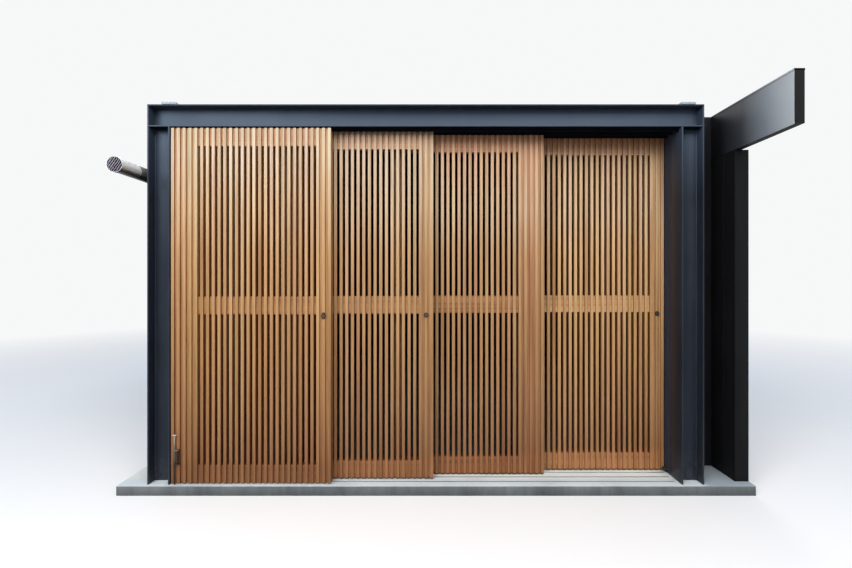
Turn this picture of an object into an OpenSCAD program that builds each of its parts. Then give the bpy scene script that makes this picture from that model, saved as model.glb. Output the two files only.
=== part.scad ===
// Row townhouse: a steel portal closed by four sliding lattice doors, with a
// plain single-storey shell behind it. X runs along the street, Y into the
// house and Z up. The origin lies on the ground, at the middle of the opening's
// width and of the house's depth.

/* [House] */
// Depth from the portal's front plane to the back of the house
house_d = 5460; // [4200:10:7200]
// Thickness of the party walls and of the back wall
wall_t = 120; // [90:5:200]
// Height of the sill and the floor slab above the lowest ground
slab_h = 65; // [40:5:150]
// How far the sill's front stands out from the portal
sill_nose = 20; // [10:1:60]
// Chamfer along the sill's front edge
sill_chamfer = 5; // [2:1:10]

/* [Portal] */
// Clear height from the sill to the beam's underside
opening_h = 2400; // [2000:10:2800]
// Depth of the steel section, flange face to flange face
steel_h = 150; // [100:10:200]
// Width of the steel section's flanges
steel_w = 150; // [150:5:200]
// Thickness of the steel section's flanges
flange_t = 10; // [8:1:16]
// Thickness of the steel section's web
web_t = 7; // [6:1:12]
// Radius where the web meets the flanges
root_r = 8; // [6:1:13]
// Length and width of the cap plates over the beam's ends
cap_w = 100; // [60:5:140]
// Thickness of the cap plates and their feet
cap_t = 8; // [6:1:12]
// Height of the cap plates' tops above the beam
cap_h = 26; // [16:1:40]
// Distance from the beam's left end to its cap plate
cap_left_in = 80; // [10:1:150]
// Distance from the beam's right end to its cap plate
cap_right_in = 40; // [10:1:150]

/* [Recesses] */
// Width of the left recess, from the column to the house's left face
left_recess_w = 193; // [150:1:400]
// Width of the right recess, from the column to the return wall
right_recess_w = 236; // [150:1:400]
// Depth of both recesses behind the portal's front plane
recess_d = 317; // [310:1:400]
// Thickness of the panels that close the recesses
panel_t = 28; // [20:1:60]
// Thickness of the return wall
return_t = 95; // [72:1:120]
// How far the return wall stands back from the portal's front plane
return_back = 50; // [20:2:120]
// Thickness of the fascia over the return wall
fascia_t = 60; // [40:2:70]
// Height of the fascia
fascia_h = 318; // [200:2:400]
// Height of the fascia's top above the beam's top
fascia_rise = 27; // [10:1:60]
// How far the fascia reaches out in front of the portal
fascia_reach = 465; // [200:5:600]
// Outer radius of the vent pipe in the left recess
vent_r = 47; // [35:1:60]
// Wall thickness of the vent pipe
vent_t = 1.5; // [1:0.5:3]
// Distance from the house's left face to the vent pipe's middle
vent_in = 92; // [60:1:96]
// Height of the vent pipe's middle above the sill
vent_h = 2105; // [1800:5:2200]
// How far the vent pipe reaches out in front of the portal
vent_reach = 171; // [50:1:300]
// How much wider than the pipe its end cap is, all round
vent_lip = 4; // [2:1:8]
// Length of the vent pipe's end cap
vent_cap_l = 22; // [15:1:40]

/* [Doors] */
// Width of a slat
slat_w = 21; // [19:1:30]
// Gap between two slats
slat_gap = 18; // [10:1:20]
// Depth of a slat
slat_d = 30; // [24:1:34]
// Number of slats in a door
slat_n = 28; // [26:1:30]
// Number of slats over a wide stile
wide_n = 5; // [4:1:6]
// Number of slats over a narrow stile
narrow_n = 3; // [3:1:4]
// How far the stiles and rails lie behind the slats' faces
face_step = 10; // [6:1:14]
// Thickness of a whole door
door_d = 58; // [56:1:60]
// Height of the top, middle and bottom rails
rail_h = 120; // [80:5:160]
// Overlap of the first and second doors
overlap_12 = 386; // [200:1:450]
// Overlap of the second and third doors
overlap_23 = 297; // [200:1:400]
// Overlap of the third and fourth doors
overlap_34 = 191; // [150:1:250]
// Running gap at a door's top, bottom and ends
door_gap = 6; // [6:0.5:10]
// Distance from the portal's front plane to the first door's face
first_track = 7; // [5:1:20]
// Distance from one track to the next
track_pitch = 74; // [72:1:76]

/* [Running gear] */
// Width of the rails on the sill
track_w = 8; // [6:1:12]
// Height of the rails above the sill
track_h = 3; // [2:0.5:4]
// How far the rails stop short of the columns
track_short = 28; // [20:1:50]
// Radius of the rollers
roller_r = 20; // [15:1:22]
// Width of the rollers
roller_w = 12; // [8:1:14]
// Radius of the roller axles
axle_r = 4; // [3:0.5:5]
// Distance from a door's end to the roller's axle
roller_in = 90; // [70:1:95]
// Length of the pocket that takes a roller
pocket_l = 60; // [50:1:80]
// Thickness of the cheeks on both sides of a roller
cheek_t = 2; // [1.5:0.5:3]
// Running gap under and beside a roller
roller_gap = 0.3; // [0.2:0.1:0.6]
// Distance from a door's face to its roller and head guide
guide_in = 40; // [38:0.5:42]
// Thickness of the head guides
guide_t = 6; // [4:1:8]
// How far the head guides reach into a door
guide_bite = 12; // [8:1:16]
// Clearance round the head guides
guide_gap = 5; // [5:0.5:6]

/* [Door furniture] */
// Height of the lock cylinders above the sill
lock_h = 1131; // [800:1:1300]
// Radius of a lock's escutcheon
lock_plate_r = 17; // [14:0.5:20]
// Radius of a lock's barrel
lock_r = 8; // [7:0.5:8.5]
// Thickness of the outer escutcheon
lock_plate_t = 4; // [2:0.5:5]
// How far the barrel stands out from its escutcheon
lock_nose = 2; // [1:0.5:3]
// Thickness of the inner escutcheon
lock_back_t = 2; // [1:0.5:3]
// Radius of the drop bolt's rod
bolt_r = 5; // [4:0.5:6]
// Height of the drop bolt's handle above the door's foot
bolt_h = 322; // [250:1:400]
// Height of the drop bolt's base plate
bolt_plate_h = 101; // [80:1:120]
// Height of the base plate's foot above the door's foot
bolt_plate_z = 130; // [110:1:150]
// Thickness of the base plate
bolt_plate_t = 3; // [2:0.5:4]
// Height of the loops that guide the rod
bolt_loop_h = 8; // [6:1:12]
// Length of the drop bolt's handle
bolt_cap_l = 32; // [24:1:40]
// Thickness of the drop bolt's handle
bolt_cap_t = 8; // [6:1:10]
// Clearance of the rod in its loops
bolt_gap = 0.5; // [0.3:0.1:1]
// How far the door stop stands out from the jamb
stop_l = 33; // [20:1:60]
// Depth of the door stop
stop_w = 30; // [20:1:40]
// Thickness of the door stop
stop_t = 20; // [12:1:30]
// Height of the door stop above the sill
stop_z = 20; // [10:1:60]

/* [Roof] */
// Fall of the roof in each metre of depth
roof_fall = 30; // [10:1:60]
// Thickness of the roof boards
deck_t = 24; // [18:1:40]
// Joint between the boards over the portal's lining and the other roof boards
deck_joint = 1; // [1:1:3]
// Thickness of the roof sheet and the flashings
sheet_t = 3; // [2:0.5:6]
// Height of the roof sheet's standing seams
seam_h = 25; // [15:1:40]
// Width of the standing seams
seam_w = 12; // [8:1:20]
// Greatest distance from one standing seam to the next
seam_pitch = 455; // [300:5:600]
// Width of a roof joist
joist_w = 45; // [38:1:90]
// Depth of a roof joist
joist_h = 150; // [100:5:200]
// Greatest distance from one joist to the next
joist_pitch = 455; // [300:5:600]
// Height of the flashings down the walls
verge_drop = 80; // [50:5:150]
// Width of the flashings over the roof sheet
verge_lap = 60; // [40:5:120]
// Thickness of the eave board
eave_t = 24; // [18:1:40]
// Height of the eave board
eave_h = 180; // [150:5:260]
// Outer radius of the gutter
gutter_r = 55; // [45:1:70]
// Outer radius of the downpipe
pipe_r = 30; // [20:1:38]
// Distance from the downpipe to the right end of the gutter
pipe_in = 250; // [150:10:600]
// Height of the downpipe's foot above the ground
pipe_foot = 40; // [20:5:100]
// Height of the downpipe's lower clip above the ground
clip_low = 300; // [150:10:700]
// Height of the downpipe's upper clip above the ground
clip_high = 1900; // [1400:10:2050]

/* [Hidden] */

STEEL = "#20252d";
SHEET = "#2c2e31";
TIMBER = "#c48f5e";
CONCRETE = "#c8c7c2";
METAL = "#b9bcbe";
RUBBER = "#141414";

// Overshoot of a cut past the face that it opens
cut = 1;
round_fn = 48;

// Doors and the opening that they close
slat_pitch = slat_w + slat_gap;
door_w = slat_n * slat_pitch - slat_gap;
door_h = opening_h - 2 * door_gap;
opening_w = 2 * door_gap + 4 * door_w - overlap_12 - overlap_23 - overlap_34;
opening_x = -opening_w / 2;
door_1_x = opening_x + door_gap;
door_2_x = door_1_x + door_w - overlap_12;
door_3_x = door_2_x + door_w - overlap_23;
door_4_x = door_3_x + door_w - overlap_34;
door_z = slab_h + door_gap;
guide_h = door_gap + guide_bite;

// Running gear inside a door
pocket_w = roller_w + 4 * cheek_t;
pocket_h = track_h + roller_gap + 2 * roller_r + cheek_t - door_gap;
axle_z = track_h + roller_gap + roller_r - door_gap;

// Drop bolt, over the gap beside the first slat
bolt_x = slat_w + slat_gap / 2;
loop_d = 2 * (bolt_r + bolt_plate_t) + bolt_gap;

// Portal and house
portal_x = opening_w / 2 + steel_h;
return_x = portal_x + right_recess_w;
left_x = -portal_x - left_recess_w;
right_x = return_x + return_t;
vent_x = left_x + vent_in;
lining_back = recess_d + panel_t;
beam_z = slab_h + opening_h;
roof_top = beam_z + steel_h;
fascia_top = roof_top + fascia_rise;
gutter_y = house_d + eave_t + gutter_r;
gutter_z = roof_z(gutter_y) - sheet_t;

// Height of the roof boards' underside at a depth y behind the portal's front
function roof_z(y) = roof_top - roof_fall * (y - steel_w) / 1000;

// Moves what is built from the portal's front plane to the house's place
module from_front() {
    translate([0, -house_d / 2, 0]) children();
}

// Extrudes an outline drawn in depth and height along X, from x0 to x1
module along_x(x0, x1) {
    translate([x0, 0, 0]) rotate([90, 0, 90]) linear_extrude(x1 - x0) children();
}

// A wall from z0 up to the roof boards, its top cut to the roof's fall
module under_roof(x0, x1, y0, y1, z0) {
    along_x(x0, x1)
        polygon([[y0, z0], [y1, z0], [y1, roof_z(y1)], [y0, roof_z(y0)]]);
}

// A layer that follows the roof's fall, its underside at lift over the joists
module roof_layer(x0, x1, y0, y1, lift, t) {
    along_x(x0, x1)
        polygon([[y0, roof_z(y0) + lift], [y1, roof_z(y1) + lift],
            [y1, roof_z(y1) + lift + t], [y0, roof_z(y0) + lift + t]]);
}

// Rolled steel section with its web across Y, from its left front corner
module steel_section() {
    pocket_x = steel_h - 2 * flange_t;
    pocket_y = (steel_w - web_t) / 2;
    difference() {
        square([steel_h, steel_w]);
        for (side = [0, 1])
            translate([0, side * steel_w]) mirror([0, side]) section_pocket(pocket_x, pocket_y);
    }
}

// The hollow between two flanges, with round corners at the web
module section_pocket(wide, deep) {
    translate([flange_t, -cut]) square([wide, deep - root_r + cut]);
    translate([flange_t + root_r, 0]) square([wide - 2 * root_r, deep]);
    for (x = [flange_t + root_r, flange_t + wide - root_r])
        translate([x, deep - root_r]) circle(root_r, $fn = round_fn);
}

module floor_slab() {
    color(CONCRETE) from_front()
        translate([left_x, recess_d, 0]) cube([right_x - left_x, house_d - recess_d, slab_h]);
}

module front_sill() {
    top = slab_h - sill_chamfer;
    color(CONCRETE) from_front() along_x(left_x, right_x)
        polygon([[-sill_nose, 0], [recess_d, 0], [recess_d, slab_h],
            [sill_chamfer - sill_nose, slab_h], [-sill_nose, top]]);
}

// Distance from the portal's front plane to the rail of track i, counted from 0
function track_y(i) = first_track + i * track_pitch + guide_in;

module sill_rails() {
    color(METAL) from_front() for (i = [0:3])
        translate([opening_x + track_short, track_y(i) - track_w / 2, slab_h])
            cube([opening_w - 2 * track_short, track_w, track_h]);
}

module head_guides() {
    color(STEEL) from_front() for (i = [0:3])
        translate([opening_x, track_y(i) - guide_t / 2, beam_z - guide_h])
            cube([opening_w, guide_t, guide_h]);
}

module column(x) {
    color(STEEL) from_front()
        translate([x, 0, slab_h]) linear_extrude(opening_h) steel_section();
}

module left_column() { column(-portal_x); }

module right_column() { column(portal_x - steel_h); }

// Steel beam with a plate welded over each end
module front_beam() {
    color(STEEL) from_front() {
        translate([portal_x - flange_t, 0, beam_z]) rotate([0, -90, 0])
            linear_extrude(2 * (portal_x - flange_t)) steel_section();
        for (x = [-portal_x, portal_x - flange_t])
            translate([x, 0, beam_z]) cube([flange_t, steel_w, steel_h]);
    }
}

// A plate on two feet over each end of the beam
module beam_cap_plates() {
    color(METAL) from_front() for (x = [cap_left_in - portal_x, portal_x - cap_right_in - cap_w])
        translate([x, (steel_w - cap_w) / 2, roof_top]) difference() {
            cube([cap_w, cap_w, cap_h]);
            translate([cap_t, -cut, -cut])
                cube([cap_w - 2 * cap_t, cap_w + 2 * cut, cap_h - cap_t + cut]);
        }
}

module head_box() {
    color(SHEET) from_front()
        under_roof(opening_x, -opening_x, steel_w, lining_back, beam_z);
}

module jamb(x) {
    color(SHEET) from_front()
        under_roof(x, x + steel_h, steel_w, lining_back, slab_h);
}

module left_jamb() { jamb(-portal_x); }

module right_jamb() { jamb(-opening_x); }

module end_panel(x0, x1) {
    color(SHEET) from_front() under_roof(x0, x1, recess_d, lining_back, slab_h);
}

// The left panel has a hole for the vent pipe
module left_end_panel() {
    difference() {
        end_panel(left_x, -portal_x);
        at_vent(lining_back + cut) cylinder(panel_t + 2 * cut, vent_r, vent_r, $fn = round_fn);
    }
}

module right_end_panel() { end_panel(portal_x, right_x); }

// Moves what is built upwards to the vent pipe, so that it runs forward from a depth y
module at_vent(y) {
    from_front() translate([vent_x, y, slab_h + vent_h]) rotate([90, 0, 0]) children();
}

// Pipe through the end panel, with a wider cap round its open end
module vent_pipe() {
    pipe_l = lining_back + vent_reach;
    cap_r = vent_r + vent_lip;
    color(METAL) at_vent(lining_back) difference() {
        union() {
            cylinder(pipe_l, vent_r, vent_r, $fn = round_fn);
            translate([0, 0, pipe_l - vent_cap_l])
                cylinder(vent_cap_l, cap_r, cap_r, $fn = round_fn);
        }
        translate([0, 0, -cut])
            cylinder(pipe_l + 2 * cut, vent_r - vent_t, vent_r - vent_t, $fn = round_fn);
    }
}

module return_wall() {
    color(SHEET) from_front() translate([return_x, return_back, slab_h])
        cube([return_t, recess_d - return_back, fascia_top - fascia_h - slab_h]);
}

module side_fascia() {
    color(SHEET) from_front()
        translate([return_x, -fascia_reach, fascia_top - fascia_h])
            cube([fascia_t, fascia_reach + recess_d - sheet_t, fascia_h]);
}

module party_wall(x) {
    color(SHEET) from_front()
        under_roof(x, x + wall_t, lining_back, house_d, slab_h);
}

module left_party_wall() { party_wall(left_x); }

module right_party_wall() { party_wall(right_x - wall_t); }

module back_wall() {
    color(SHEET) from_front()
        under_roof(left_x + wall_t, right_x - wall_t, house_d - wall_t, house_d, slab_h);
}

module roof_joists() {
    first = lining_back;
    last = house_d - wall_t - joist_w;
    bays = ceil((last - first) / joist_pitch);
    color(TIMBER) from_front() for (i = [0:bays]) {
        y = first + i * (last - first) / bays;
        roof_layer(left_x + wall_t, right_x - wall_t, y, y + joist_w, -joist_h, joist_h);
    }
}

// Roof boards: a narrow strip between the columns, and the rest behind the recesses
module roof_deck() {
    color(TIMBER) from_front() {
        roof_layer(-portal_x, portal_x, steel_w, recess_d - deck_joint, 0, deck_t);
        roof_layer(left_x, right_x, recess_d, house_d + eave_t, 0, deck_t);
    }
}

// Roof sheet with its standing seams, spaced evenly between the verge flashings
module roof_sheet() {
    sheets = ceil((right_x - left_x) / seam_pitch);
    pitch = (right_x - left_x) / sheets;
    color(SHEET) from_front() {
        roof_layer(left_x, right_x, recess_d, gutter_y, deck_t, sheet_t);
        for (i = [1:sheets - 1])
            roof_layer(left_x + i * pitch - seam_w / 2, left_x + i * pitch + seam_w / 2,
                recess_d + verge_lap, gutter_y, deck_t, sheet_t + seam_h);
    }
}

// Folded strip over the edge of the roof sheet and down a party wall's face at x
module verge_flashing(x) {
    over = deck_t + sheet_t;
    roof_layer(x - verge_lap, x + sheet_t, recess_d + verge_lap, gutter_y, over, sheet_t);
    roof_layer(x, x + sheet_t, recess_d + verge_lap,
        gutter_y, -verge_drop, verge_drop + over + sheet_t);
}

module left_verge_flashing() {
    color(SHEET) from_front() mirror([1, 0, 0]) verge_flashing(-left_x);
}

module right_verge_flashing() {
    color(SHEET) from_front() verge_flashing(right_x);
}

// Folded apron over the front strip of boards, stepped round both recesses
module front_flashing() {
    lap = deck_t + sheet_t;
    color(SHEET) from_front() {
        roof_layer(-portal_x, portal_x, steel_w - sheet_t, recess_d, deck_t, 2 * sheet_t);
        roof_layer(-portal_x, portal_x, steel_w - sheet_t, steel_w, sheet_t, lap);
        roof_layer(-portal_x, portal_x, steel_w, recess_d + verge_lap, lap, sheet_t);
        mirror([1, 0, 0]) recess_flashing(-left_x);
        recess_flashing(right_x);
    }
}

// The apron's folds round one recess, out to the house's face at x
module recess_flashing(x) {
    lap = deck_t + sheet_t;
    roof_layer(portal_x, portal_x + sheet_t, steel_w - sheet_t, recess_d, 0, lap + sheet_t);
    roof_layer(portal_x, x, recess_d - sheet_t, recess_d, 0, lap + sheet_t);
    roof_layer(portal_x, x, recess_d - sheet_t, recess_d + verge_lap, lap, sheet_t);
}

module eave_board() {
    color(SHEET) from_front()
        roof_layer(left_x, right_x, house_d, house_d + eave_t, -eave_h, eave_h);
}

module half_pipe(r) {
    intersection() {
        circle(r, $fn = round_fn);
        translate([-r, -r]) square([2 * r, r]);
    }
}

// Half-round gutter with closed ends, its hangers and a hole for the downpipe
module gutter() {
    hangers = 5;
    color(SHEET) from_front() difference() {
        union() {
            translate([0, gutter_y, gutter_z]) along_x(left_x, right_x)
                half_pipe(gutter_r);
            for (i = [0:hangers])
                translate([left_x + i * (right_x - left_x - joist_w) / hangers,
                    gutter_y - gutter_r, gutter_z - gutter_r])
                    cube([joist_w, sheet_t, gutter_r]);
        }
        translate([0, gutter_y, gutter_z]) along_x(left_x + sheet_t, right_x - sheet_t)
            circle(gutter_r - sheet_t, $fn = round_fn);
        translate([right_x - pipe_in, gutter_y, gutter_z - gutter_r - cut])
            cylinder(gutter_r, pipe_r + roller_gap, pipe_r + roller_gap, $fn = round_fn);
    }
}

// Downpipe with two clips that hold it to the back wall
module downpipe() {
    top = gutter_z - gutter_r + sheet_t;
    color(SHEET) from_front() difference() {
        union() {
            translate([right_x - pipe_in, gutter_y, pipe_foot])
                cylinder(top - pipe_foot, pipe_r, pipe_r, $fn = round_fn);
            for (z = [clip_low, clip_high])
                translate([right_x - pipe_in - pipe_r / 2, house_d, z])
                    cube([pipe_r, gutter_y - house_d, pipe_r]);
        }
        translate([right_x - pipe_in, gutter_y, pipe_foot - cut])
            cylinder(top - pipe_foot + 2 * cut, pipe_r - sheet_t, pipe_r - sheet_t,
                $fn = round_fn);
    }
}

module door_stop() {
    color(RUBBER) from_front()
        translate([-opening_x - stop_l, track_y(2) - stop_w / 2, slab_h + stop_z])
            cube([stop_l, stop_w, stop_t]);
}

// Moves what is built from a door's lower left front corner to track i
module at_door(x, i) {
    from_front() translate([x, first_track + i * track_pitch, door_z]) children();
}

// A lattice door: slats that run in front of, and are let into, a timber frame
module lattice_door(left_n, right_n) {
    left_w = left_n * slat_pitch - slat_gap;
    right_w = right_n * slat_pitch - slat_gap;
    frame_d = door_d - face_step;
    difference() {
        union() {
            for (i = [0:slat_n - 1])
                translate([i * slat_pitch, 0, 0]) cube([slat_w, slat_d, door_h]);
            translate([0, face_step, 0]) {
                cube([left_w, frame_d, door_h]);
                translate([door_w - right_w, 0, 0]) cube([right_w, frame_d, door_h]);
                for (z = [0, (door_h - rail_h) / 2, door_h - rail_h])
                    translate([0, 0, z]) cube([door_w, frame_d, rail_h]);
            }
        }
        head_groove();
        for (x = [roller_in, door_w - roller_in]) roller_pocket(x);
    }
}

module head_groove() {
    groove_w = guide_t + 2 * guide_gap;
    groove_h = guide_bite + guide_gap;
    translate([-cut, guide_in - groove_w / 2, door_h - groove_h])
        cube([door_w + 2 * cut, groove_w, groove_h + cut]);
}

module roller_pocket(x) {
    translate([x - pocket_l / 2, guide_in - pocket_w / 2, -cut])
        cube([pocket_l, pocket_w, pocket_h + cut]);
}

// The hole through a door for its lock
module lock_bore() {
    translate([door_w - lock_in(), -cut, lock_z()]) rotate([-90, 0, 0])
        cylinder(door_d + 2 * cut, lock_r + roller_gap, lock_r + roller_gap, $fn = round_fn);
}

// The lock sits on the middle slat of the narrow stile
function lock_in() = slat_pitch + slat_w / 2;

function lock_z() = lock_h - door_gap;

module lattice_door_1() {
    color(TIMBER) at_door(door_1_x, 0) difference() {
        lattice_door(wide_n, narrow_n);
        lock_bore();
    }
}

module lattice_door_2() {
    color(TIMBER) at_door(door_2_x, 1) difference() {
        lattice_door(wide_n, narrow_n);
        lock_bore();
    }
}

module lattice_door_3() {
    color(TIMBER) at_door(door_3_x, 2) lattice_door(narrow_n, wide_n);
}

module lattice_door_4() {
    color(TIMBER) at_door(door_4_x, 3) difference() {
        lattice_door(wide_n, narrow_n);
        lock_bore();
    }
}

// A roller on its axle between two cheeks that line the pocket
module door_roller() {
    rotate([-90, 0, 0]) translate([0, -axle_z, 0]) {
        cylinder(roller_w, roller_r, roller_r, center = true, $fn = round_fn);
        cylinder(pocket_w, axle_r, axle_r, center = true, $fn = round_fn);
    }
    for (y = [-pocket_w / 2, pocket_w / 2 - cheek_t])
        translate([-pocket_l / 2, y, 0]) cube([pocket_l, cheek_t, pocket_h]);
}

module door_rollers(x, i) {
    color(METAL) at_door(x, i)
        for (along = [roller_in, door_w - roller_in])
            translate([along, guide_in, 0]) door_roller();
}

module door_rollers_1() { door_rollers(door_1_x, 0); }

module door_rollers_2() { door_rollers(door_2_x, 1); }

module door_rollers_3() { door_rollers(door_3_x, 2); }

module door_rollers_4() { door_rollers(door_4_x, 3); }

// Lock barrel through the stile, with an escutcheon on each face
module door_lock(x, i) {
    color(METAL) at_door(x, i) translate([door_w - lock_in(), 0, lock_z()])
        rotate([-90, 0, 0]) {
            translate([0, 0, -lock_plate_t])
                cylinder(lock_plate_t, lock_plate_r, lock_plate_r, $fn = round_fn);
            translate([0, 0, -lock_plate_t - lock_nose])
                cylinder(door_d + lock_plate_t + lock_nose, lock_r, lock_r, $fn = round_fn);
            translate([0, 0, door_d])
                cylinder(lock_back_t, lock_plate_r, lock_plate_r, $fn = round_fn);
        }
}

module door_lock_1() { door_lock(door_1_x, 0); }

module door_lock_2() { door_lock(door_2_x, 1); }

module door_lock_4() { door_lock(door_4_x, 3); }

// Base plate on the second slat, with two loops round the drop bolt's rod
module bolt_bracket() {
    reach = slat_pitch + slat_w - bolt_x + bolt_r + bolt_plate_t;
    color(METAL) at_door(door_1_x, 0) difference() {
        union() {
            translate([slat_pitch, -bolt_plate_t, bolt_plate_z])
                cube([slat_w, bolt_plate_t, bolt_plate_h]);
            for (z = [0, bolt_plate_h - bolt_loop_h])
                translate([slat_pitch + slat_w - reach, -bolt_plate_t - loop_d,
                    bolt_plate_z + z])
                    cube([reach, loop_d, bolt_loop_h]);
        }
        translate([bolt_x, -bolt_plate_t - loop_d / 2, bolt_plate_z - cut])
            cylinder(bolt_plate_h + 2 * cut, bolt_r + bolt_gap, bolt_r + bolt_gap,
                $fn = round_fn);
    }
}

// Rod and handle, shown lifted clear of the sill
module drop_bolt() {
    color(METAL) at_door(door_1_x, 0)
        translate([bolt_x, -bolt_plate_t - loop_d / 2, 0]) {
            cylinder(bolt_h, bolt_r, bolt_r, $fn = round_fn);
            translate([-bolt_cap_l / 2, -bolt_cap_t / 2, bolt_h])
                cube([bolt_cap_l, bolt_cap_t, bolt_cap_t]);
        }
}

floor_slab();
front_sill();
sill_rails();
left_column();
right_column();
front_beam();
beam_cap_plates();
head_guides();
head_box();
left_jamb();
right_jamb();
left_end_panel();
right_end_panel();
vent_pipe();
return_wall();
side_fascia();
left_party_wall();
right_party_wall();
back_wall();
roof_joists();
roof_deck();
roof_sheet();
left_verge_flashing();
right_verge_flashing();
front_flashing();
eave_board();
gutter();
downpipe();
door_stop();
lattice_door_1();
lattice_door_2();
lattice_door_3();
lattice_door_4();
door_rollers_1();
door_rollers_2();
door_rollers_3();
door_rollers_4();
door_lock_1();
door_lock_2();
door_lock_4();
bolt_bracket();
drop_bolt();
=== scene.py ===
import math

import bpy
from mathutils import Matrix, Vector


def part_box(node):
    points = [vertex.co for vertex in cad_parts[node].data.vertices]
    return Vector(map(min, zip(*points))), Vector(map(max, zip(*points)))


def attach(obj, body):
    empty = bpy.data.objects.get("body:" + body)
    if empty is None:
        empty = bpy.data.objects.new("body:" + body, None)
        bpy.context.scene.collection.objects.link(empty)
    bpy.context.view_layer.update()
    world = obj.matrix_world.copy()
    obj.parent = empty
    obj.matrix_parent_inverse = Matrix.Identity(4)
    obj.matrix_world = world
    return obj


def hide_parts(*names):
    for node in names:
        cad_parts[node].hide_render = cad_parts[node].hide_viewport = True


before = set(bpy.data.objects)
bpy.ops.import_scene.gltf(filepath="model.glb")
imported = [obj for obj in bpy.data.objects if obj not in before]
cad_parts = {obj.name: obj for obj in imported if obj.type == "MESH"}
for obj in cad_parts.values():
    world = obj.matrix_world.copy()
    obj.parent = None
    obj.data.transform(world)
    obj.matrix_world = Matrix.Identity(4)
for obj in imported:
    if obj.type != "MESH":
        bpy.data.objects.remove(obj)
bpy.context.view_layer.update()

# The street view. The camera stands in the street at eye height and looks straight at the portal,
# level and square to it, so the uprights stay upright. The shift puts the vanishing point where the
# photograph has it, a little right of and above the middle.
portal_low, portal_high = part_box("front_beam")
sill_low, sill_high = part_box("front_sill")
eye_back = 3.075
eye_height = 1.365
eye_right = 0.042
sensor_width = 36
picture_width = 852
focal_pixels = 459
vanishing_pixels_right = 6
vanishing_pixels_up = 3

bpy.ops.object.camera_add(
    location=(eye_right, portal_low.y - eye_back, sill_high.z + eye_height),
    rotation=(math.radians(90), 0, 0))
street_view = bpy.context.object
street_view.name = "street_view"
street_view.data.sensor_width = sensor_width
street_view.data.lens = sensor_width * focal_pixels / picture_width
street_view.data.shift_x = -vanishing_pixels_right / picture_width
street_view.data.shift_y = -vanishing_pixels_up / picture_width
street_view.data.clip_start = 0.05
bpy.context.scene.camera = street_view
bpy.context.scene.view_settings.view_transform = "Standard"

# Daylight in a narrow street: a long soft lamp high in front of the house, two smaller ones to its
# left and right that the steel's webs mirror, one behind the house for its back, and a plain sky
# that is brighter and bluer overhead than at eye level.


def soft_lamp(name, place, aim, width, height, power, colour):
    turn = (Vector(aim) - Vector(place)).to_track_quat("-Z", "Y").to_euler()
    bpy.ops.object.light_add(type="AREA", location=place, rotation=turn)
    lamp = bpy.context.object
    lamp.name = name
    lamp.data.shape = "RECTANGLE"
    lamp.data.size = width
    lamp.data.size_y = height
    lamp.data.energy = power
    lamp.data.color = colour
    lamp.visible_camera = False


soft_lamp("street_sky", (-0.2, -7.2, 5.9), (0.1, portal_low.y, 1.3), 8.0, 2.6, 400, (1.0, 0.965, 0.91))
soft_lamp("street_left", (-4.5, -8.6, 4.3), (-1.4, portal_low.y, 1.9), 3.8, 2.4, 260, (0.90, 0.95, 1.0))
soft_lamp("street_right", (3.5, -8.6, 4.9), (1.4, portal_low.y, 2.2), 2.6, 1.2, 65, (0.90, 0.95, 1.0))
soft_lamp("yard_sky", (4.0, 11.0, 8.0), (0, portal_high.y + 4, 1.2), 6.0, 5.0, 420, (0.95, 0.97, 1.0))


def add_node(tree, kind, **settings):
    """A shader node with its settings and, by name or number, its unlinked inputs."""
    made = tree.nodes.new(kind)
    inputs = settings.pop("inputs", {})
    for key, value in settings.items():
        setattr(made, key, value)
    for key, value in inputs.items():
        if isinstance(value, bpy.types.NodeSocket):
            tree.links.new(value, made.inputs[key])
        else:
            made.inputs[key].default_value = value
    return made


def ramp(value, *stops):
    """Colours, or greys given by one number, at their positions along a value from 0 to 1."""
    made = add_node(value.id_data, "ShaderNodeValToRGB", inputs={0: value})
    steps = made.color_ramp.elements
    while len(steps) < len(stops):
        steps.new(0.5)
    for step, (position, colour) in zip(steps, stops):
        step.position = position
        step.color = (*colour, 1) if isinstance(colour, (tuple, list)) else (colour, colour, colour, 1)
    return made.outputs["Color"]


def reckon(operation, first, second=0.0):
    """The outcome of one sum on two values."""
    return add_node(first.id_data, "ShaderNodeMath", operation=operation,
        inputs={0: first, 1: second}).outputs[0]


def seen_share(tree):
    """1 for what is seen outright, in a gloss or through glass, and 0 for light that is spread."""
    rays = add_node(tree, "ShaderNodeLightPath").outputs
    gloss = reckon("MAXIMUM", rays["Is Camera Ray"], rays["Is Glossy Ray"])
    return reckon("MAXIMUM", gloss, rays["Is Transmission Ray"])


backdrop_white = (0.93, 0.935, 0.94, 1)
sky = bpy.data.worlds.new("sky")
bpy.context.scene.world = sky
sky.use_nodes = True
sky.node_tree.nodes.clear()
towards = add_node(sky.node_tree, "ShaderNodeTexCoord")
rise = add_node(sky.node_tree, "ShaderNodeSeparateXYZ", inputs={0: towards.outputs["Generated"]})
sky_colour = ramp(rise.outputs["Z"], (0.0, (0.20, 0.20, 0.21)), (0.22, (0.34, 0.37, 0.42)),
    (0.75, (0.62, 0.74, 0.92)))
sky_light = add_node(sky.node_tree, "ShaderNodeBackground", inputs={"Color": sky_colour, "Strength": 0.9})
white_sky = add_node(sky.node_tree, "ShaderNodeBackground",
    inputs={"Color": backdrop_white, "Strength": 1.0})
sky_mix = add_node(sky.node_tree, "ShaderNodeMixShader", inputs={
    0: seen_share(sky.node_tree), 1: sky_light.outputs[0], 2: white_sky.outputs[0]})
add_node(sky.node_tree, "ShaderNodeOutputWorld", inputs={0: sky_mix.outputs[0]})

# The ground is a plain pale floor, which fades into the white of the background further out.
bpy.ops.mesh.primitive_circle_add(vertices=96, radius=60, fill_type="NGON")
ground = bpy.context.object
ground.name = "ground"


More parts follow.
